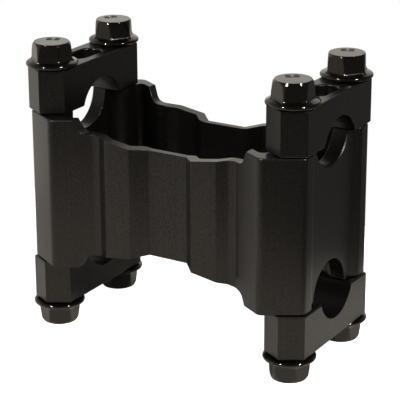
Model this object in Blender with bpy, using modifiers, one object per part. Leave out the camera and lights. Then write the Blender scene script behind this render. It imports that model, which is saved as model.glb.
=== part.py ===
"""Motorcycle bar riser: an open billet body that lifts a handlebar two inches.

The body bolts four clamps to its faces, two above for the raised bar and two below
for the clamps' old place, each held by a front and a rear flange bolt.
X runs along the handlebar, the front is at -Y and the lower bolt heads stand on Z = 0.
"""

import math

import bmesh
import bpy
from mathutils import Matrix

# Overall layout
RISE = 0.0508
COLUMN_SPACING = 0.0884
BOLT_SPACING = 0.0357
BAR_DIAMETER = 0.0222
SEAT_GAP = 0.0003
EDGE_CHAMFER = 0.00035
ARC_STEP = math.radians(9)

# Columns of the riser body, measured from the bolts
FACET_ANGLE = math.radians(30)
BOSS_RADIUS = 0.0063
NOSE_INSET = 0.0057
END_MARGIN = 0.0067
END_WALL = 0.0053
DISH_DEPTH = 0.0021
DISH_EDGE_INSET = 0.00155
DISH_RAMP = 0.0028
SHALLOW_SEAT_DEPTH = 0.0085
DEEP_SEAT_DEPTH = 0.0106
SEAT_FLARE = 0.0004

# Waved wall between the columns
WALL_THICKNESS = 0.0032
WAIST_HALF_LENGTH = 0.0070
STEP_LENGTH = 0.00445
TAPER_LENGTH = 0.00335
SHOULDER_LENGTH = 0.0026
WAIST_OFFSET = 0.0008
PLATEAU_OFFSET = 0.00545
SHOULDER_OFFSET = 0.0037

# Lowered rims of the wall, above and below
MIDDLE_DROP = 0.0076
RAMP_DROP = 0.0049
UPPER_SIDE_DROP = 0.0047
LOWER_SIDE_DROP = 0.0039
UPPER_SHOULDER = 0.0064
LOWER_SHOULDER = 0.0069
FLANK_ANGLE = math.radians(65)

# Rounded corners
STEP_ROUND = 0.0006
WAVE_ROUND = 0.0018
NOSE_ROUND = 0.00275
CORNER_ROUND = 0.0022
DISH_CREST_ROUND = 0.0015
DISH_FOOT_ROUND = 0.0025
CAVITY_ROUND = 0.0020
RIM_ROUND = 0.0030

# Clamps
CLAMP_THICKNESS = 0.0147
CLAMP_WIDTH = 0.0143
CLAMP_TIP_REACH = 0.0077
CLAMP_SEAT_DEPTH = 0.0077
POCKET_LENGTH = 0.0150
POCKET_WIDTH = 0.0076
POCKET_DEPTH = 0.0040
POCKET_FLARE = 0.0004

# Flange bolts
BOLT_DIAMETER = 0.0080
BOLT_LENGTH = 0.0300
BOLT_TIP_CHAMFER = 0.0010
HOLE_CLEARANCE = 0.0005
HOLE_RUNOUT = 0.0030
FLANGE_DIAMETER = 0.0170
FLANGE_RIM = 0.00095
FLANGE_SLOPE = math.radians(20)
HEX_ACROSS_FLATS = 0.0117
HEX_ACROSS_CORNERS = 0.0131
HEAD_HEIGHT = 0.0078
HEX_TOP_DIAMETER = 0.0112
HEX_CHAMFER_ANGLE = math.radians(30)
BOLT_SIDES = 36

# How far each hex head was turned when it was tightened, in degrees
HEX_TURNS = {
    "upper_left_front": -6.0,
    "upper_left_rear": 27.5,
    "upper_right_front": 4.5,
    "upper_right_rear": 22.5,
    "lower_left_front": 5.0,
    "lower_left_rear": 12.0,
    "lower_right_front": -16.5,
    "lower_right_rear": -9.0,
}

CUT_MARGIN = 0.002
WELD_DISTANCE = 0.000005

# Places worked out from the sizes above
HALF_RISE = RISE / 2
BOLT_X = COLUMN_SPACING / 2
BOLT_Y = BOLT_SPACING / 2
BAR_RADIUS = BAR_DIAMETER / 2
NOSE_X = BOLT_X - NOSE_INSET
NOSE_Y = BOLT_Y + (BOSS_RADIUS + NOSE_INSET * math.sin(FACET_ANGLE)) / math.cos(FACET_ANGLE)
END_X = BOLT_X + END_MARGIN
DISH_X = END_X - DISH_DEPTH
STACK_HALF_HEIGHT = HALF_RISE + CLAMP_THICKNESS + HEAD_HEIGHT + 2 * SEAT_GAP
CLAMP_SEAT_Z = HALF_RISE + SEAT_GAP
HEAD_SEAT_Z = CLAMP_SEAT_Z + CLAMP_THICKNESS + SEAT_GAP
ENGAGED_LENGTH = BOLT_LENGTH - (HEAD_SEAT_Z - HALF_RISE)


def clear_scene():
    for old in list(bpy.data.objects):
        bpy.data.objects.remove(old, do_unlink=True)


def new_collection(name):
    collection = bpy.data.collections.new(name)
    bpy.context.scene.collection.children.link(collection)
    return collection


def new_material(name, color, roughness, metallic):
    material = bpy.data.materials.new(name)
    material.use_nodes = True
    shader = material.node_tree.nodes["Principled BSDF"]
    shader.inputs["Base Color"].default_value = (*color, 1.0)
    shader.inputs["Roughness"].default_value = roughness
    shader.inputs["Metallic"].default_value = metallic
    material.diffuse_color = (*color, 1.0)
    return material


def arc(center, radius, start, end):
    """Points along an arc, from angle start to angle end."""
    count = max(2, math.ceil(abs(end - start) / ARC_STEP))
    angles = [start + (end - start) * i / count for i in range(count + 1)]
    return [(center[0] + radius * math.cos(a), center[1] + radius * math.sin(a)) for a in angles]


def rounded(corners):
    """Closed outline through (x, y, radius) corners, each rounded by an arc."""
    points = []
    for i, (x, y, radius) in enumerate(corners):
        if radius == 0:
            points.append((x, y))
            continue
        before = corners[i - 1]
        after = corners[(i + 1) % len(corners)]
        heading_in = math.atan2(y - before[1], x - before[0])
        heading_out = math.atan2(after[1] - y, after[0] - x)
        turn = math.remainder(heading_out - heading_in, 2 * math.pi)
        setback = radius * math.tan(abs(turn) / 2)
        side = math.copysign(math.pi / 2, turn)
        start_x = x - setback * math.cos(heading_in)
        start_y = y - setback * math.sin(heading_in)
        center = (start_x + radius * math.cos(heading_in + side),
                  start_y + radius * math.sin(heading_in + side))
        start = heading_in - side
        points += arc(center, radius, start, start + turn)
    return points


def mirrored(quarter):
    """Closed corner list from a quarter, given from the +Y middle round to the +X middle."""
    right = quarter + [(x, -y, r) for x, y, r in reversed(quarter)]
    return right + [(-x, y, r) for x, y, r in reversed(right)]


def inset(points, distance):
    """Open run of corners moved sideways to the right of their direction, with mitred corners."""
    moved = []
    for i, (x, y) in enumerate(points):
        before = points[max(i - 1, 0)]
        after = points[min(i + 1, len(points) - 1)]
        heading_in = math.atan2(y - before[1], x - before[0])
        heading_out = math.atan2(after[1] - y, after[0] - x)
        if i == 0:
            heading_in = heading_out
        if i == len(points) - 1:
            heading_out = heading_in
        middle = heading_in + math.remainder(heading_out - heading_in, 2 * math.pi) / 2
        reach = distance / math.cos(middle - heading_in)
        moved.append((x + reach * math.sin(middle), y - reach * math.cos(middle)))
    return moved


def prism(name, outline, thickness, collection, chamfer=0.0):
    """Flat outline extruded evenly up and down in Z, as a mesh object."""
    curve = bpy.data.curves.new(name, "CURVE")
    curve.dimensions = "2D"
    curve.fill_mode = "BOTH"
    curve.extrude = thickness / 2 - chamfer
    curve.bevel_depth = chamfer
    curve.bevel_resolution = 0
    curve.offset = -chamfer
    spline = curve.splines.new("POLY")
    spline.points.add(len(outline) - 1)
    for point, (x, y) in zip(spline.points, outline):
        point.co = (x, y, 0, 1)
    spline.use_cyclic_u = True
    drawn = bpy.data.objects.new(name + "_outline", curve)
    collection.objects.link(drawn)
    bpy.context.view_layer.update()
    evaluated = drawn.evaluated_get(bpy.context.evaluated_depsgraph_get())
    mesh = bpy.data.meshes.new_from_object(evaluated)
    mesh.name = name
    bm = bmesh.new()
    bm.from_mesh(mesh)
    bmesh.ops.remove_doubles(bm, verts=bm.verts, dist=1e-6)
    bmesh.ops.recalc_face_normals(bm, faces=bm.faces)
    bm.to_mesh(mesh)
    bm.free()
    solid = bpy.data.objects.new(name, mesh)
    solid.matrix_world = drawn.matrix_world
    collection.objects.link(solid)
    bpy.data.objects.remove(drawn)
    bpy.data.curves.remove(curve)
    return solid


def cylinder(name, radius, length, sides, collection):
    """Closed cylinder centred on the origin, along Z."""
    bm = bmesh.new()
    bmesh.ops.create_cone(bm, cap_ends=True, segments=sides, radius1=radius, radius2=radius, depth=length)
    mesh = bpy.data.meshes.new(name)
    bm.to_mesh(mesh)
    bm.free()
    solid = bpy.data.objects.new(name, mesh)
    collection.objects.link(solid)
    return solid


def hide_cutter(cutter):
    cutter.hide_render = True
    cutter.display_type = "WIRE"


def combine(target, tool, operation):
    modifier = target.modifiers.new(operation.lower() + "_" + tool.name, "BOOLEAN")
    modifier.operation = operation
    modifier.solver = "EXACT"
    modifier.object = tool
    hide_cutter(tool)


def apply_modifiers(solid):
    """Swap the object's mesh for its evaluated one, without slivers."""
    bpy.context.view_layer.update()
    evaluated = solid.evaluated_get(bpy.context.evaluated_depsgraph_get())
    mesh = bpy.data.meshes.new_from_object(evaluated)
    mesh.name = solid.name
    bm = bmesh.new()
    bm.from_mesh(mesh)
    bmesh.ops.remove_doubles(bm, verts=bm.verts, dist=WELD_DISTANCE)
    bmesh.ops.dissolve_degenerate(bm, edges=bm.edges, dist=WELD_DISTANCE)
    bm.to_mesh(mesh)
    bm.free()
    solid.modifiers.clear()
    solid.data = mesh
    return mesh


def shade(mesh, material):
    mesh.materials.clear()
    mesh.materials.append(material)
    mesh.shade_smooth()
    mesh.set_sharp_from_angle(angle=math.radians(28))


def seat_cutter(name, side_x, seat_z, length, cutters):
    """Round bar seat along X, its axis at seat_z."""
    cutter = cylinder(name, BAR_RADIUS, length, 72, cutters)
    cutter.rotation_euler = (0, math.pi / 2, 0)
    cutter.location = (side_x, 0, seat_z)
    return cutter


def flare_cutter(name, side, seat_z, cutters):
    """Cone that breaks the outer edge of a bar seat, where the seat leaves the dished end."""
    length = CUT_MARGIN
    bm = bmesh.new()
    bmesh.ops.create_cone(bm, cap_ends=True, segments=72, radius1=BAR_RADIUS - length / 2,
                          radius2=BAR_RADIUS + length / 2, depth=length)
    mesh = bpy.data.meshes.new(name)
    bm.to_mesh(mesh)
    bm.free()
    cutter = bpy.data.objects.new(name, mesh)
    cutters.objects.link(cutter)
    cutter.rotation_euler = (0, side * math.pi / 2, 0)
    cutter.location = (side * (DISH_X - SEAT_FLARE), 0, seat_z)
    return cutter


def wall_corners():
    """Outer corners of the waved wall from the middle out to the nose of the column."""
    nose = (NOSE_X, NOSE_Y)
    shoulder_y = BOLT_Y + SHOULDER_OFFSET
    plateau_y = BOLT_Y + PLATEAU_OFFSET
    waist_y = BOLT_Y + WAIST_OFFSET
    shoulder_end = NOSE_X - (NOSE_Y - shoulder_y) / math.tan(FACET_ANGLE)
    shoulder_start = shoulder_end - SHOULDER_LENGTH
    plateau_end = shoulder_start - TAPER_LENGTH
    return [
        (WAIST_HALF_LENGTH, waist_y),
        (WAIST_HALF_LENGTH + STEP_LENGTH, plateau_y),
        (plateau_end, plateau_y),
        (shoulder_start, shoulder_y),
        (shoulder_end, shoulder_y),
        nose,
    ]


def body_outline():
    wave = wall_corners()
    rounds = [STEP_ROUND, STEP_ROUND, WAVE_ROUND, WAVE_ROUND, WAVE_ROUND, NOSE_ROUND]
    facet_end_y = NOSE_Y - (END_X - NOSE_X) * math.tan(FACET_ANGLE)
    crest_y = BOLT_Y - DISH_EDGE_INSET
    quarter = [(x, y, r) for (x, y), r in zip(wave, rounds)]
    quarter += [
        (END_X, facet_end_y, CORNER_ROUND),
        (END_X, crest_y, DISH_CREST_ROUND),
        (DISH_X, crest_y - DISH_RAMP, DISH_FOOT_ROUND),
    ]
    return rounded(mirrored(quarter))


def cavity_outline():
    """Inside of the waved wall, round the bolt bosses and along the end walls."""
    waist, step_top, plateau_end, shoulder_start, shoulder_end, nose = inset(wall_corners(), WALL_THICKNESS)
    flank_x = BOLT_X - BOSS_RADIUS
    slope = math.tan(FACET_ANGLE)
    flank_y = shoulder_end[1] + (flank_x - shoulder_end[0]) * slope
    end_x = DISH_X - END_WALL
    boss_y = BOLT_Y - math.sqrt(BOSS_RADIUS ** 2 - (BOLT_X - end_x) ** 2)
    wave = [waist, step_top, plateau_end, shoulder_start, shoulder_end, (flank_x, flank_y)]
    end_angle = math.atan2(boss_y - BOLT_Y, end_x - BOLT_X) % (2 * math.pi)
    boss = arc((BOLT_X, BOLT_Y), BOSS_RADIUS, math.pi, end_angle)
    quarter = [(x, y, CAVITY_ROUND) for x, y in wave] + [(x, y, 0.0) for x, y in boss]
    return rounded(mirrored(quarter))


def rim_outline(reach, side_drop, shoulder):
    """Front view of what is cut away over the wall, up to reach above the body's middle."""
    column_x = NOSE_X - shoulder
    flank_run = side_drop / math.tan(FLANK_ANGLE)
    over_x = column_x + (reach - HALF_RISE) / math.tan(FLANK_ANGLE)
    ramp_end = wall_corners()[3][0]
    right = [
        (WAIST_HALF_LENGTH, HALF_RISE - MIDDLE_DROP, RIM_ROUND),
        (ramp_end, HALF_RISE - RAMP_DROP, RIM_ROUND),
        (column_x - flank_run, HALF_RISE - side_drop, RIM_ROUND),
        (over_x, reach, 0.0),
    ]
    left = [(-x, z, r) for x, z, r in reversed(right)]
    return rounded(right + left)


def make_body(parts, cutters, material):
    body = prism("riser_body", body_outline(), RISE, parts, EDGE_CHAMFER)
    cavity = prism("cavity_cutter", cavity_outline(), RISE + 2 * CUT_MARGIN, cutters)
    combine(body, cavity, "DIFFERENCE")
    depth = 2 * (NOSE_Y + CUT_MARGIN)
    rims = (("upper", 0, UPPER_SIDE_DROP, UPPER_SHOULDER), ("lower", math.pi, LOWER_SIDE_DROP, LOWER_SHOULDER))
    for name, turn, side_drop, shoulder in rims:
        outline = rim_outline(HALF_RISE + CUT_MARGIN, side_drop, shoulder)
        rim = prism(name + "_rim_cutter", outline, depth, cutters)
        rim.rotation_euler = (math.pi / 2 + turn, 0, 0)
        combine(body, rim, "DIFFERENCE")
    hole_depth = ENGAGED_LENGTH + HOLE_RUNOUT
    hole_radius = BOLT_DIAMETER / 2 + SEAT_GAP
    for side in (-1, 1):
        for name, face in (("upper", 1), ("lower", -1)):
            seat_depth = SHALLOW_SEAT_DEPTH if side == face else DEEP_SEAT_DEPTH
            seat_z = face * (HALF_RISE - seat_depth + BAR_RADIUS)
            seat = seat_cutter(name + "_seat_cutter", side * BOLT_X, seat_z, 4 * END_MARGIN, cutters)
            combine(body, seat, "DIFFERENCE")
            flare = flare_cutter(name + "_flare_cutter", side, seat_z, cutters)
            combine(body, flare, "DIFFERENCE")
            for y in (-BOLT_Y, BOLT_Y):
                hole = cylinder(name + "_hole_cutter", hole_radius, hole_depth + CUT_MARGIN, 28, cutters)
                hole.location = (side * BOLT_X, y, face * (HALF_RISE + (CUT_MARGIN - hole_depth) / 2))
                combine(body, hole, "DIFFERENCE")
    apply_modifiers(body)
    shade(body.data, material)
    body.location.z = STACK_HALF_HEIGHT
    return body


def clamp_outline():
    half_width = CLAMP_WIDTH / 2
    tip_y = BOLT_Y + CLAMP_TIP_REACH
    corner_y = tip_y - half_width * math.tan(FACET_ANGLE)
    return [
        (0.0, tip_y),
        (half_width, corner_y),
        (half_width, -corner_y),
        (0.0, -tip_y),
        (-half_width, -corner_y),
        (-half_width, corner_y),
    ]


def pocket_outline(margin=0.0):
    radius = POCKET_WIDTH / 2 + margin
    straight = (POCKET_LENGTH - POCKET_WIDTH) / 2
    top = arc((0.0, straight), radius, 0.0, math.pi)
    bottom = arc((0.0, -straight), radius, math.pi, 2 * math.pi)
    return top + bottom


def make_clamp_mesh(cutters, material):
    """One clamp standing on its bar side, its bolts along Y, as a mesh shared by all four."""
    clamp = prism("clamp", clamp_outline(), CLAMP_THICKNESS, cutters, EDGE_CHAMFER)
    half = CLAMP_THICKNESS / 2
    seat_z = CLAMP_SEAT_DEPTH - half - BAR_RADIUS
    seat = seat_cutter("clamp_seat_cutter", 0.0, seat_z, 2 * CLAMP_WIDTH, cutters)
    combine(clamp, seat, "DIFFERENCE")
    pocket = prism("pocket_cutter", pocket_outline(), 2 * POCKET_DEPTH, cutters)
    pocket.location.z = half
    combine(clamp, pocket, "DIFFERENCE")
    reach = POCKET_FLARE + EDGE_CHAMFER
    flare = prism("pocket_flare_cutter", pocket_outline(reach), 2 * reach, cutters, reach)
    flare.location.z = half + EDGE_CHAMFER
    combine(clamp, flare, "DIFFERENCE")
    for y in (-BOLT_Y, BOLT_Y):
        radius = BOLT_DIAMETER / 2 + HOLE_CLEARANCE
        hole = cylinder("clamp_hole_cutter", radius, CLAMP_THICKNESS + 2 * CUT_MARGIN, 28, cutters)
        hole.location.y = y
        combine(clamp, hole, "DIFFERENCE")
    mesh = apply_modifiers(clamp)
    bpy.data.objects.remove(clamp)
    shade(mesh, material)
    return mesh


def flange_profile():
    """Half section of the bolt without its hex, from the top of the axis down the outside."""
    flange = FLANGE_DIAMETER / 2
    shank = BOLT_DIAMETER / 2
    neck = HEX_ACROSS_FLATS / 2 - CUT_MARGIN / 4
    neck_z = FLANGE_RIM + (flange - neck) * math.tan(FLANGE_SLOPE)
    edge = FLANGE_RIM / 4
    return [
        (0.0, neck_z),
        (neck, neck_z),
        (flange - edge, FLANGE_RIM + edge * math.tan(FLANGE_SLOPE)),
        (flange, FLANGE_RIM - edge),
        (flange, edge),
        (flange - edge, 0.0),
        (shank, 0.0),
        (shank, BOLT_TIP_CHAMFER - BOLT_LENGTH),
        (shank - BOLT_TIP_CHAMFER, -BOLT_LENGTH),
        (0.0, -BOLT_LENGTH),
    ]


def turned(name, profile, sides, collection):
    """Solid turned about Z from a profile that starts and ends on the axis."""
    mesh = bpy.data.meshes.new(name)
    edges = [(i, i + 1) for i in range(len(profile) - 1)]
    mesh.from_pydata([(r, 0.0, z) for r, z in profile], edges, [])
    solid = bpy.data.objects.new(name, mesh)
    collection.objects.link(solid)
    screw = solid.modifiers.new("turn", "SCREW")
    screw.steps = sides
    screw.render_steps = sides
    screw.use_merge_vertices = True
    screw.merge_threshold = 0.00001
    return solid


def make_bolt_mesh(cutters, material):
    """One flange bolt, its flange seated on Z = 0 with the shank below, shared by all eight."""
    bolt = turned("bolt", flange_profile(), BOLT_SIDES, cutters)
    hex_height = HEAD_HEIGHT - FLANGE_RIM / 2
    hex_radius = HEX_ACROSS_FLATS / 2 / math.cos(math.pi / 6)
    head = cylinder("hex_tool", hex_radius, hex_height, 6, cutters)
    head.location.z = HEAD_HEIGHT - hex_height / 2
    top = HEX_TOP_DIAMETER / 2
    wide = HEX_ACROSS_CORNERS / 2
    cone_z = HEAD_HEIGHT - (wide - top) * math.tan(HEX_CHAMFER_ANGLE)
    cap_profile = [(0.0, HEAD_HEIGHT), (top, HEAD_HEIGHT), (wide, cone_z), (wide, 0.0), (0.0, 0.0)]
    cap = turned("hex_cap_tool", cap_profile, BOLT_SIDES, cutters)
    combine(head, cap, "INTERSECT")
    combine(bolt, head, "UNION")
    mesh = apply_modifiers(bolt)
    bpy.data.objects.remove(bolt)
    shade(mesh, material)
    return mesh


def place(name, mesh, location, parts, flipped, turn=0.0):
    """Object using a shared mesh, turned about Z, then over about X when it belongs below."""
    solid = bpy.data.objects.new(name, mesh)
    over = math.pi if flipped else 0.0
    solid.matrix_world = (
        Matrix.Translation(location) @ Matrix.Rotation(turn, 4, "Z") @ Matrix.Rotation(over, 4, "X"))
    parts.objects.link(solid)
    return solid


def main():
    clear_scene()
    parts = new_collection("motorcycle_bar_riser")
    cutters = new_collection("cutters")
    anodised = new_material("black_anodised_aluminium", (0.022, 0.021, 0.020), 0.38, 0.6)
    oxide = new_material("black_oxide_steel", (0.025, 0.024, 0.023), 0.25, 0.8)
    make_body(parts, cutters, anodised)
    clamp_mesh = make_clamp_mesh(cutters, anodised)
    bolt_mesh = make_bolt_mesh(cutters, oxide)
    for level, face in (("upper", 1), ("lower", -1)):
        for side, x in (("left", -BOLT_X), ("right", BOLT_X)):
            clamp_z = STACK_HALF_HEIGHT + face * (CLAMP_SEAT_Z + CLAMP_THICKNESS / 2)
            clamp_name = "clamp_" + level + "_" + side
            place(clamp_name, clamp_mesh, (x, 0.0, clamp_z), parts, face < 0)
            head_z = STACK_HALF_HEIGHT + face * HEAD_SEAT_Z
            for row, y in (("front", -BOLT_Y), ("rear", BOLT_Y)):
                key = level + "_" + side + "_" + row
                turn = math.radians(HEX_TURNS[key])
                place("bolt_" + key, bolt_mesh, (x, y, head_z), parts, face < 0, turn)


main()
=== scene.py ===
# %% [markdown]
# # Motorcycle bar riser
# This lesson dresses a finished CAD model of a handlebar riser. The solids come in as a fixed frame
# that is never moved or reshaped. Each cell below adds one thing to it: the camera, the studio, the
# two finishes, and bolts that are rounder than the faceted solid ones.

# %% Load the solids
import math

import bmesh
import bpy
from mathutils import Matrix, Vector


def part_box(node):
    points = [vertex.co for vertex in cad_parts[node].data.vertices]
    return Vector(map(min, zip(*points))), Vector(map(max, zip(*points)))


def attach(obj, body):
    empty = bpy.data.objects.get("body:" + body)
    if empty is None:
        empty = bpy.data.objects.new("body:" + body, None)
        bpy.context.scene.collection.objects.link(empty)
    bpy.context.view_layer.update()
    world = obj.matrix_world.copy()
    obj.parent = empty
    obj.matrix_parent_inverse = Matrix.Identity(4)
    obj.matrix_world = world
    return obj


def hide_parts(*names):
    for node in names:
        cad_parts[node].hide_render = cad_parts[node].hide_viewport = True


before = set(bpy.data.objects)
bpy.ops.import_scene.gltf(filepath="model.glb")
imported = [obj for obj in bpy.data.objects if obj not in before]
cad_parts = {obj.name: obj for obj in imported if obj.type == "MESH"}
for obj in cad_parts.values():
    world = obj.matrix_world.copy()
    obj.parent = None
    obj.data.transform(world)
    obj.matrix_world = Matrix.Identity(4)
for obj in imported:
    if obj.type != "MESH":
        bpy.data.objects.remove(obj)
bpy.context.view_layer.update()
MM = 0.001
print("nodes", sorted(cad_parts))

# %% [markdown]
# ## Camera
# The photograph was taken from the front right, a little above the part, with a long lens, which keeps
# the columns nearly parallel. A camera can be placed by hand or made to track a target. Here it is
# worked out from its turn round the part, its height and its distance, because these three can be
# measured in the photograph. The lens is shifted as on a view camera, to keep the part in the frame.

# %% Camera
TURN = math.radians(31.27)
ELEVATION = math.radians(18.41)
ROLL = math.radians(-0.23)
DISTANCE = 547.1 * MM
AIM_RIGHT = 0.70 * MM
AIM_UP = 9.88 * MM
MIDDLE = Vector((0, 0, 48.5 * MM))
LENS = 150.4
SENSOR_WIDTH = 36.0
LENS_SHIFT = -0.10
NEAREST_SEEN = 10 * MM

reach = math.cos(ELEVATION)
forward = Vector((-math.sin(TURN) * reach, math.cos(TURN) * reach, -math.sin(ELEVATION)))
level = Vector((math.cos(TURN), math.sin(TURN), 0))
upright = level.cross(forward)
right = math.cos(ROLL) * level + math.sin(ROLL) * upright
up = math.cos(ROLL) * upright - math.sin(ROLL) * level
place = Matrix((right, up, -forward)).transposed().to_4x4()
place.translation = MIDDLE + AIM_RIGHT * right + AIM_UP * up - DISTANCE * forward

camera_data = bpy.data.cameras.new("camera")
camera_data.lens = LENS
camera_data.sensor_width = SENSOR_WIDTH
camera_data.shift_y = LENS_SHIFT
camera_data.clip_start = NEAREST_SEEN
camera = bpy.data.objects.new("camera", camera_data)
camera.matrix_world = place
bpy.context.scene.collection.objects.link(camera)
bpy.context.scene.camera = camera
print("camera at", [round(value, 4) for value in place.translation])

# %% [markdown]
# ## Colours and nodes
# Colours are written as the hex values that a paint program shows. Blender works with linear light, so
# one function turns the first into the second. Another adds a shader node with its settings and links,
# so that a material below reads as a short list of nodes.

# %% Helpers for colours and nodes
def linear(hex_colour):
    """Linear RGBA of an sRGB hex colour."""
    channels = [int(hex_colour[i:i + 2], 16) / 255 for i in (1, 3, 5)]
    return [c / 12.92 if c <= 0.04045 else ((c + 0.055) / 1.055) ** 2.4 for c in channels] + [1.0]


def add_node(tree, kind, links=(), **settings):
    """A new node. Links are pairs of an output and an input's name or number. Settings name a property
    or an input, with _ for a space."""
    node = tree.nodes.new(kind)
    for name, value in settings.items():
        if hasattr(node, name):
            setattr(node, name, value)
        else:
            node.inputs[name.replace("_", " ")].default_value = value
    for output, name in links:
        tree.links.new(output, node.inputs[name])
    return node


print("mid grey in linear light", [round(value, 3) for value in linear("#808080")])

# %% [markdown]
# ## Floor
# The part stands on white paper. A large plane would do for a pale floor, but black metal has hardly any
# colour of its own, and its upright faces mirror the floor all the way to the horizon. A small round of
# paper gives the mirror image of the photograph: bright near the foot and darker towards the top. The
# camera alone sees the paper glow, as overexposed as in the photograph, so its edge doesn't show. It lies
# a tenth of a millimetre below the bolt heads, because two faces in one plane would flicker.

# %% Floor
PAPER_RADIUS = 150 * MM
PAPER_CENTRE = Vector((-34 * MM, -30 * MM, -0.1 * MM))
PAPER_SIDES = 96
PAPER_ROUGHNESS = 0.9

floor_mesh = bpy.data.meshes.new("floor")
shape = bmesh.new()
bmesh.ops.create_circle(shape, cap_ends=True, segments=PAPER_SIDES, radius=PAPER_RADIUS)
bmesh.ops.translate(shape, verts=shape.verts, vec=PAPER_CENTRE)
shape.to_mesh(floor_mesh)
shape.free()
floor = bpy.data.objects.new("floor", floor_mesh)
bpy.context.scene.collection.objects.link(floor)

paper = bpy.data.materials.new("white_paper")
paper.use_nodes = True
paper_shader = paper.node_tree.nodes["Principled BSDF"]
paper_shader.inputs["Base Color"].default_value = linear("#F4F3F1")
paper_shader.inputs["Roughness"].default_value = PAPER_ROUGHNESS
paper_shader.inputs["Emission Color"].default_value = linear("#FFFFFF")
ray = add_node(paper.node_tree, "ShaderNodeLightPath")
paper.node_tree.links.new(ray.outputs["Is Camera Ray"], paper_shader.inputs["Emission Strength"])
floor_mesh.materials.append(paper)
print("paper radius", PAPER_RADIUS, "metres")

# %% [markdown]
# ## Room
# The camera sees a white room. The metal sees the room as it is lit: bright on the left, falling off to
# near dark on the right, and dimmer towards the ceiling. Large lamps or a picture of a studio could give
# this too. A smooth falloff over the direction of a ray is simpler, and free of noise.

# %% Room
LEFT_GLOW = 1.05
RIGHT_GLOW = 0.125
FALLOFF = 3.5
DIM_FROM = 0.35
DIM_TO = 0.75
CEILING = 0.3
WARM_WHITE = "#FFF9F0"

room = bpy.data.worlds.new("room")
room.use_nodes = True
tree = room.node_tree
direction = add_node(tree, "ShaderNodeTexCoord")
parts = add_node(tree, "ShaderNodeSeparateXYZ", [(direction.outputs["Generated"], "Vector")])
leftness = add_node(tree, "ShaderNodeMapRange", [(parts.outputs["X"], "Value")], From_Min=1.0, From_Max=-1.0)
falloff = add_node(tree, "ShaderNodeMath", [(leftness.outputs["Result"], 0)], operation="POWER")
falloff.inputs[1].default_value = FALLOFF
glow = add_node(tree, "ShaderNodeMapRange", [(falloff.outputs[0], "Value")],
                To_Min=RIGHT_GLOW, To_Max=LEFT_GLOW)
dimming = add_node(tree, "ShaderNodeMapRange", [(parts.outputs["Z"], "Value")],
                   From_Min=DIM_FROM, From_Max=DIM_TO, To_Min=1.0, To_Max=CEILING)
dimmed = add_node(tree, "ShaderNodeMath", [(glow.outputs["Result"], 0), (dimming.outputs["Result"], 1)],
                  operation="MULTIPLY")
ray = add_node(tree, "ShaderNodeLightPath")
strength = add_node(tree, "ShaderNodeMix", [(ray.outputs["Is Camera Ray"], "Factor"),
                                            (dimmed.outputs[0], "A")], data_type="FLOAT", B=1.0)
colour = add_node(tree, "ShaderNodeMix", [(ray.outputs["Is Camera Ray"], "Factor")],
                  data_type="RGBA", A=linear(WARM_WHITE), B=linear("#FFFFFF"))
tree.links.new(strength.outputs["Result"], tree.nodes["Background"].inputs["Strength"])
tree.links.new(colour.outputs["Result"], tree.nodes["Background"].inputs["Color"])
bpy.context.scene.world = room
bpy.context.scene.view_settings.view_transform = "Standard"
print("room glows", LEFT_GLOW, "on the left and", RIGHT_GLOW, "on the right")

# %% [markdown]
# ## Lights
# Studio lamps with square diffusers could be meshes that glow, but area lights give less noise. The rear
# light shines in the tops of the bolts. The paper light falls on the paper, which the metal mirrors in
# turn, and is itself kept out of the metal's shine. Two small bright lamps left and right of the camera
# make the white points on rims and corners, and are kept off the paper.

# %% Lights
def soft_box(name, location, size, watts, on_paper=True, in_metal=True):
    """A square light that faces the part. It may be kept off dull surfaces, or out of the metal's shine."""
    data = bpy.data.lights.new(name, "AREA")
    data.size = size
    data.energy = watts
    data.color = linear(WARM_WHITE)[:3]
    lamp = bpy.data.objects.new(name, data)
    lamp.location = location
    lamp.visible_diffuse = on_paper
    lamp.visible_glossy = in_metal
    lamp.rotation_euler = (MIDDLE - Vector(location)).to_track_quat("-Z", "Y").to_euler()
    bpy.context.scene.collection.objects.link(lamp)
    print(name, "at", location, "watts", watts)


soft_box("rear_light", (-0.285, 0.91, 0.38), size=0.80, watts=1.2)
soft_box("paper_light", (0.75, -0.55, 0.95), size=0.35, watts=17.5, in_metal=False)
soft_box("left_sparkle", (-0.20, -0.90, 0.92), size=0.08, watts=18.0, on_paper=False)
soft_box("right_sparkle", (0.97, -0.17, 0.88), size=0.11, watts=18.0, on_paper=False)

# %% [markdown]
# ## Smooth rounds
# The round seats and corners of the solids are made of small flat faces, and no two of them share a
# corner. Smooth shading needs shared corners, but the mesh of a solid must stay as it is. So a short
# node group, used as a modifier, joins the corners and smooths each edge that bends by less than 25
# degrees. A real corner bends by more, and stays sharp.

# %% Smooth rounds on the solids
SHARP_ANGLE = math.radians(25)
WELD = 0.001 * MM

rounds = bpy.data.node_groups.new("smooth_rounds", "GeometryNodeTree")
rounds.interface.new_socket("Geometry", in_out="INPUT", socket_type="NodeSocketGeometry")
rounds.interface.new_socket("Geometry", in_out="OUTPUT", socket_type="NodeSocketGeometry")
loose = add_node(rounds, "NodeGroupInput")
joined = add_node(rounds, "GeometryNodeMergeByDistance", [(loose.outputs[0], "Geometry")], Distance=WELD)
angle = add_node(rounds, "GeometryNodeInputMeshEdgeAngle")
sharp = add_node(rounds, "FunctionNodeCompare", [(angle.outputs["Unsigned Angle"], "A")], B=SHARP_ANGLE)
marked = add_node(rounds, "GeometryNodeStoreNamedAttribute",
                  [(joined.outputs[0], "Geometry"), (sharp.outputs[0], "Value")],
                  data_type="BOOLEAN", domain="EDGE", Name="sharp_edge")
smooth = add_node(rounds, "GeometryNodeSetShadeSmooth", [(marked.outputs[0], "Geometry")])
add_node(rounds, "NodeGroupOutput", [(smooth.outputs[0], "Geometry")])

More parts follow.
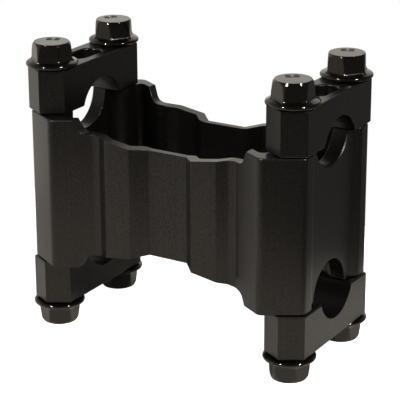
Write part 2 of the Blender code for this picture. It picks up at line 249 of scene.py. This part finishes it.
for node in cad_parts.values():
    modifier = node.modifiers.new("smooth_rounds", "NODES")
    modifier.node_group = rounds
print("smoothed nodes", len(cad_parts))

# %% [markdown]
# ## Satin black anodised aluminium
# The body and the clamps are sawn from extruded aluminium, milled, etched, anodised and dyed black. The
# dyed oxide is hard and slightly rough: a nearly black colour under a soft, broad shine. That colour
# lies in the oxide, so the shader treats it as a black coating and not as bare metal. Etching leaves a
# grain of some 0.05 mm, which is drawn at a third of a millimetre, about a pixel of the render, so that
# it shows. The extrusion die leaves faint upright lines. Milled edges are broken by a few tenths of a
# millimetre and catch the light. The Bevel node rounds them in the shading alone, which keeps the solids
# as they are.

# %% Anodised aluminium
GRAIN = 0.33 * MM
DIE_LINE = 0.45 * MM
DIE_LINE_LENGTH = 60 * MM
DIE_LINE_SHARE = 0.15
TEXTURE_LOW, TEXTURE_HIGH = 0.3, 0.7
SATIN_LOW, SATIN_HIGH = 0.27, 0.37
SHINE_LOW, SHINE_HIGH = 0.25, 0.62
EDGE_ROUND = 0.30 * MM
PIT_DEPTH = 0.03 * MM
PIT_STRENGTH = 0.6
BEVEL_SAMPLES = 6


def anodised_aluminium():
    """Satin black anodised aluminium with an etched grain and die lines."""
    material = bpy.data.materials.new("satin_black_anodised_aluminium")
    material.use_nodes = True
    tree = material.node_tree
    shader = tree.nodes["Principled BSDF"]
    shader.inputs["Specular Tint"].default_value = linear("#FFF9F2")
    where = add_node(tree, "ShaderNodeTexCoord")
    grain = add_node(tree, "ShaderNodeTexNoise", [(where.outputs["Object"], "Vector")],
                     Scale=1 / GRAIN, Detail=2.0, Roughness=0.6)
    stretch = add_node(tree, "ShaderNodeMapping", [(where.outputs["Object"], "Vector")],
                       Scale=(1 / DIE_LINE, 1 / DIE_LINE, 1 / DIE_LINE_LENGTH))
    lines = add_node(tree, "ShaderNodeTexNoise", [(stretch.outputs["Vector"], "Vector")],
                     Scale=1.0, Detail=3.0)
    texture = add_node(tree, "ShaderNodeMix", [(grain.outputs["Fac"], "A"), (lines.outputs["Fac"], "B")],
                       data_type="FLOAT", Factor=DIE_LINE_SHARE)
    dye = add_node(tree, "ShaderNodeMix", [(texture.outputs["Result"], "Factor")],
                   data_type="RGBA", A=linear("#050404"), B=linear("#090808"))
    satin = add_node(tree, "ShaderNodeMapRange", [(texture.outputs["Result"], "Value")],
                     From_Min=TEXTURE_LOW, From_Max=TEXTURE_HIGH, To_Min=SATIN_LOW, To_Max=SATIN_HIGH)
    shine = add_node(tree, "ShaderNodeMapRange", [(texture.outputs["Result"], "Value")],
                     From_Min=TEXTURE_LOW, From_Max=TEXTURE_HIGH, To_Min=SHINE_LOW, To_Max=SHINE_HIGH)
    edge = add_node(tree, "ShaderNodeBevel", samples=BEVEL_SAMPLES, Radius=EDGE_ROUND)
    pits = add_node(tree, "ShaderNodeBump",
                    [(texture.outputs["Result"], "Height"), (edge.outputs[0], "Normal")],
                    Strength=PIT_STRENGTH, Distance=PIT_DEPTH)
    tree.links.new(dye.outputs["Result"], shader.inputs["Base Color"])
    tree.links.new(satin.outputs["Result"], shader.inputs["Roughness"])
    tree.links.new(shine.outputs["Result"], shader.inputs["Specular IOR Level"])
    tree.links.new(pits.outputs["Normal"], shader.inputs["Normal"])
    return material


anodised = anodised_aluminium()
print(anodised.name, "with", len(anodised.node_tree.nodes), "nodes")

# %% [markdown]
# ## Glossy black oxide
# The bolts are cold-forged steel, blackened in a hot salt bath and oiled. The oil fills the thin oxide
# and makes it much smoother than the anodised parts, so the heads mirror the lights as clear bright
# patches. As above, the shader treats the oxide as a black coating. Faint blotches in the gloss come
# from the oil, and the Bevel node gives each corner the small round that forging leaves.

# %% Black oxide steel
BLOTCH = 1.6 * MM
FORGED_ROUND = 0.4 * MM
GLOSS_LOW, GLOSS_HIGH = 0.06, 0.12


def black_oxide_steel():
    """Oiled black oxide on cold-forged steel."""
    material = bpy.data.materials.new("glossy_black_oxide_steel")
    material.use_nodes = True
    tree = material.node_tree
    shader = tree.nodes["Principled BSDF"]
    shader.inputs["Specular Tint"].default_value = linear("#FFF6EC")
    where = add_node(tree, "ShaderNodeTexCoord")
    blotch = add_node(tree, "ShaderNodeTexNoise", [(where.outputs["Object"], "Vector")],
                      Scale=1 / BLOTCH, Detail=4.0)
    tone = add_node(tree, "ShaderNodeMix", [(blotch.outputs["Fac"], "Factor")],
                    data_type="RGBA", A=linear("#050404"), B=linear("#0B0A08"))
    gloss = add_node(tree, "ShaderNodeMapRange", [(blotch.outputs["Fac"], "Value")],
                     To_Min=GLOSS_LOW, To_Max=GLOSS_HIGH)
    edge = add_node(tree, "ShaderNodeBevel", samples=BEVEL_SAMPLES, Radius=FORGED_ROUND)
    tree.links.new(tone.outputs["Result"], shader.inputs["Base Color"])
    tree.links.new(gloss.outputs["Result"], shader.inputs["Roughness"])
    tree.links.new(edge.outputs[0], shader.inputs["Normal"])
    return material


oxide = black_oxide_steel()
print(oxide.name, "with", len(oxide.node_tree.nodes), "nodes")

# %% [markdown]
# ## Dress the solids
# The body and the clamps keep their solid shapes and only take the finish. The solid bolts take the
# oxide too, though the rounder ones made below stand in for them in the picture.

# %% Dress the solids
for name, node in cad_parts.items():
    coat = oxide if name.startswith("bolt") else anodised
    for material_slot in node.material_slots:
        material_slot.material = coat
    print(name, coat.name)

# %% [markdown]
# ## Flange and shank
# A flange bolt has its washer forged on. A bevelled cylinder would give the flange, but not its sloping
# top and fully rounded rim. So half of its section is drawn once, from the top of the flange round the
# rim and down the shank, and spun about the axis. That gives a far rounder rim than the faceted solid
# has, which matters because the rim carries the brightest points of light on the part.

# %% Spin the flange and shank
FLANGE_RADIUS = 8.5 * MM
RIM_RADIUS = 0.7 * MM
FLANGE_SLOPE = math.radians(20)
NECK_RADIUS = 5.0 * MM
SHANK_RADIUS = 4.0 * MM
SHANK_LENGTH = 30.0 * MM
UNDERCUT = 0.3 * MM
TIP_CHAMFER = 1.0 * MM
SPIN_STEPS = 96
RIM_STEPS = 14


def flange_section():
    """Half section (radius, height) of flange and shank, from the top of the axis to the tip."""
    centre = FLANGE_RADIUS - RIM_RADIUS
    rim = []
    for step in range(RIM_STEPS + 1):
        turn = math.pi / 2 - FLANGE_SLOPE - step / RIM_STEPS * (math.pi - FLANGE_SLOPE)
        rim.append((centre + RIM_RADIUS * math.cos(turn), RIM_RADIUS + RIM_RADIUS * math.sin(turn)))
    neck_height = rim[0][1] + (rim[0][0] - NECK_RADIUS) * math.tan(FLANGE_SLOPE)
    head_side = [(0.0, neck_height), (NECK_RADIUS, neck_height)]
    shank_side = [
        (SHANK_RADIUS + UNDERCUT, 0.0),
        (SHANK_RADIUS, -UNDERCUT),
        (SHANK_RADIUS, TIP_CHAMFER - SHANK_LENGTH),
        (SHANK_RADIUS - TIP_CHAMFER, -SHANK_LENGTH),
        (0.0, -SHANK_LENGTH),
    ]
    return head_side + rim + shank_side


def spin_section(section):
    """Closed bmesh of a section spun about Z."""
    shape = bmesh.new()
    verts = [shape.verts.new((radius, 0, height)) for radius, height in section]
    edges = [shape.edges.new(pair) for pair in zip(verts, verts[1:])]
    bmesh.ops.spin(shape, geom=verts + edges, cent=(0, 0, 0), axis=(0, 0, 1), dvec=(0, 0, 0),
                   angle=2 * math.pi, steps=SPIN_STEPS, use_merge=True)
    bmesh.ops.remove_doubles(shape, verts=shape.verts, dist=WELD)
    bmesh.ops.recalc_face_normals(shape, faces=shape.faces)
    return shape


def mesh_object(name, shape):
    """Object holding a finished bmesh."""
    mesh = bpy.data.meshes.new(name)
    shape.to_mesh(mesh)
    shape.free()
    thing = bpy.data.objects.new(name, mesh)
    bpy.context.scene.collection.objects.link(thing)
    return thing


shank = mesh_object("flange_and_shank", spin_section(flange_section()))
print("flange and shank faces", len(shank.data.polygons))

# %% [markdown]
# ## Hex head
# The head is a six-sided prism that narrows a little upwards, as it left the forging die. It is a stack
# of hexagons joined ring to ring. One cone chamfers the top and leaves an arc on each flat. The steel
# hardly fills the upper corners of the die, so a second, very steep cone takes them back. A Boolean with
# a cone would do the same. Here the cone is made of slanting cuts, one after another, because its slope
# and the circle where it starts can then be given directly. The foot is a second, lower stack that
# widens downwards.

# %% Carve the hex head
HEX_FLATS = 11.9 * MM
HEAD_HEIGHT = 7.8 * MM
HEAD_LEVELS = [(1.5, 1.0), (7.8, 0.975)]
FOOT_LEVELS = [(1.4, 1.12), (1.8, 1.08), (2.1, 1.04), (2.5, 1.01), (3.0, 0.99)]
CORNER_SETBACK = 0.5 * MM
CORNER_FACES = 5
TOP_RADIUS = 5.7 * MM
TOP_SLOPE = math.radians(58)
CORNER_RADIUS = 6.1 * MM
CORNER_SLOPE = math.radians(82)
CARVE_STEPS = 72
CUT_TOLERANCE = 0.0001 * MM
CARVED_WELD = 0.002 * MM


def hex_stack(levels):
    """Six-sided solid with rounded upright corners. Each level is (height in mm, scale of the flats)."""
    shape = bmesh.new()
    corner = HEX_FLATS / 2 / math.cos(math.pi / 6)
    rings = []
    for height, scale in levels:
        is_end = height in (levels[0][0], levels[-1][0])
        ring = bmesh.ops.create_circle(shape, cap_ends=is_end, segments=6, radius=scale * corner)["verts"]
        bmesh.ops.translate(shape, verts=ring, vec=(0, 0, height * MM))
        rings.append(set(ring))
    for lower, upper in zip(rings, rings[1:]):
        loops = [e for e in shape.edges if lower.issuperset(e.verts) or upper.issuperset(e.verts)]
        bmesh.ops.bridge_loops(shape, edges=loops)
    bmesh.ops.recalc_face_normals(shape, faces=shape.faces)
    uprights = [e for e in shape.edges if abs(e.verts[0].co.z - e.verts[1].co.z) > 0.1 * MM]
    bmesh.ops.bevel(shape, geom=uprights, offset=CORNER_SETBACK, affect="EDGES", segments=CORNER_FACES,
                    profile=0.5, material=-1)
    return shape


def carve_cone(shape, radius, slope):
    """Cuts a cone round the head's top: each cut is a plane that touches the circle of that radius there."""
    for step in range(CARVE_STEPS):
        turn = 2 * math.pi * step / CARVE_STEPS
        outward = Vector((math.cos(turn), math.sin(turn), 0))
        normal = outward * math.sin(slope) + Vector((0, 0, math.cos(slope)))
        cut = bmesh.ops.bisect_plane(shape, geom=shape.verts[:] + shape.edges[:] + shape.faces[:],
                                     plane_co=outward * radius + Vector((0, 0, HEAD_HEIGHT)), plane_no=normal,
                                     dist=CUT_TOLERANCE, clear_outer=True)
        rim = [e for e in cut["geom_cut"] if isinstance(e, bmesh.types.BMEdge)]
        if rim:
            bmesh.ops.edgeloop_fill(shape, edges=rim)
    bmesh.ops.remove_doubles(shape, verts=shape.verts, dist=CARVED_WELD)
    bmesh.ops.recalc_face_normals(shape, faces=shape.faces)


head_shape = hex_stack(HEAD_LEVELS)
carve_cone(head_shape, CORNER_RADIUS, CORNER_SLOPE)
carve_cone(head_shape, TOP_RADIUS, TOP_SLOPE)
head = mesh_object("hex_head", head_shape)
foot = mesh_object("head_foot", hex_stack(FOOT_LEVELS))
print("hex head faces", len(head.data.polygons), "foot faces", len(foot.data.polygons))

# %% [markdown]
# ## Join the bolt
# Head, foot and flange are one piece of steel. Left as three overlapping meshes they would look much the
# same, but would not print or export as one closed shape. So they are united. The foot is the round in
# the corner between head and flange, where forging tools are never sharp.

# %% Unite head, foot and flange
for addition in (head, foot):
    union = shank.modifiers.new(addition.name, "BOOLEAN")
    union.operation = "UNION"
    union.solver = "EXACT"
    union.object = addition
bpy.context.view_layer.update()
bolt_mesh = bpy.data.meshes.new_from_object(shank.evaluated_get(bpy.context.evaluated_depsgraph_get()))
bolt_mesh.name = "flange_bolt"
for used in (shank, head, foot):
    bpy.data.objects.remove(used)
bolt_mesh.materials.clear()
bolt_mesh.materials.append(oxide)
print("bolt faces", len(bolt_mesh.polygons))

# %% [markdown]
# ## Grade marks
# Steel bolts carry their strength grade on the head. The marks here are the common 8.8, raised by a few
# hundredths of a millimetre as forging leaves them, and placed to one side of the head's middle. A bump
# map could fake them, but a text object turned into a mesh is real relief, and is kept when the meshes
# are exported.

# %% Make the grade mark
MARK_HEIGHT = 3.6 * MM
MARK_RELIEF = 0.05 * MM
MARK_STROKE = 0.14 * MM
MARK_OFFSET = 1.3 * MM


def grade_mark():
    """Flat raised figures, lying on the top of a bolt whose flange sits at height zero."""
    words = bpy.data.curves.new("grade", "FONT")
    words.body = "8.8"
    words.size = MARK_HEIGHT
    words.align_x = "CENTER"
    words.extrude = MARK_RELIEF
    words.offset = MARK_STROKE
    writing = bpy.data.objects.new("grade", words)
    bpy.context.scene.collection.objects.link(writing)
    bpy.context.view_layer.update()
    mesh = bpy.data.meshes.new_from_object(writing.evaluated_get(bpy.context.evaluated_depsgraph_get()))
    bpy.data.objects.remove(writing)
    mesh.transform(Matrix.Translation((0, MARK_OFFSET, HEAD_HEIGHT)))
    return mesh


mark_mesh = grade_mark()
print("grade mark width", round(max(v.co.x for v in mark_mesh.vertices) * 2 / MM, 2), "mm")

# %% [markdown]
# ## Dull black figures
# Oil and dirt settle on and round small figures, so they look darker and duller than the polished top
# of the head. They get a rough black of their own, with specks of dirt about a third of a millimetre
# wide.

# %% Dull black of the figures
DIRT = 0.3 * MM
DULL = 0.55


def dull_black_figures():
    """Oily dirt on raised figures."""
    material = bpy.data.materials.new("dull_black_figures")
    material.use_nodes = True
    tree = material.node_tree
    shader = tree.nodes["Principled BSDF"]
    shader.inputs["Roughness"].default_value = DULL
    where = add_node(tree, "ShaderNodeTexCoord")
    dirt = add_node(tree, "ShaderNodeTexNoise", [(where.outputs["Object"], "Vector")], Scale=1 / DIRT)
    tone = add_node(tree, "ShaderNodeMix", [(dirt.outputs["Fac"], "Factor")],
                    data_type="RGBA", A=linear("#060504"), B=linear("#14110E"))
    tree.links.new(tone.outputs["Result"], shader.inputs["Base Color"])
    return material


mark_mesh.materials.clear()
mark_mesh.materials.append(dull_black_figures())
print("figures are", mark_mesh.materials[0].name)

# %% [markdown]
# ## Put the bolts in
# Eight bolts hold the clamps, four from above and four from below. Each was tightened by hand, so no two
# heads are turned alike. The box of each solid bolt gives the place, and the turn is worked into the mesh
# and not into the object, so that every piece sits at the origin as the solids do. Weighted normals keep
# the flats flat in the light, and leave the rounding to the corners.

# %% Place bolts and marks
# How far head and figures are turned about the upright axis, in degrees
TURNS = {
    "upper_left_front": (-6.0, 24.0),
    "upper_left_rear": (27.5, 57.5),
    "upper_right_front": (4.5, 34.5),
    "upper_right_rear": (22.5, 22.5),
    "lower_left_front": (5.0, 35.0),
    "lower_left_rear": (12.0, 12.0),
    "lower_right_front": (-16.5, 13.5),
    "lower_right_rear": (-9.0, 21.0),
}
SMOOTH_ANGLE = math.radians(22)


def placed(name, mesh, transform):
    """A copy of a mesh with its place worked into it."""
    copy = mesh.copy()
    copy.transform(transform)
    thing = bpy.data.objects.new(name, copy)
    bpy.context.scene.collection.objects.link(thing)
    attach(thing, "root")
    return thing


for key, (head_turn, mark_turn) in TURNS.items():
    low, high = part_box("bolt_" + key)
    upper = key.startswith("upper")
    seat = high.z - HEAD_HEIGHT if upper else low.z + HEAD_HEIGHT
    middle = Vector(((low.x + high.x) / 2, (low.y + high.y) / 2, seat))
    flip = Matrix.Rotation(0.0 if upper else math.pi, 4, "X")
    stand = Matrix.Translation(middle)
    bolt = placed("flange_bolt_" + key, bolt_mesh,
                  stand @ Matrix.Rotation(math.radians(head_turn), 4, "Z") @ flip)
    bolt.data.shade_smooth()
    bolt.data.set_sharp_from_angle(angle=SMOOTH_ANGLE)
    even = bolt.modifiers.new("even_flats", "WEIGHTED_NORMAL")
    even.keep_sharp = True
    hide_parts("bolt_" + key)
    placed("grade_mark_" + key, mark_mesh, stand @ Matrix.Rotation(math.radians(mark_turn), 4, "Z") @ flip)
    print(key, [round(value / MM, 2) for value in middle])
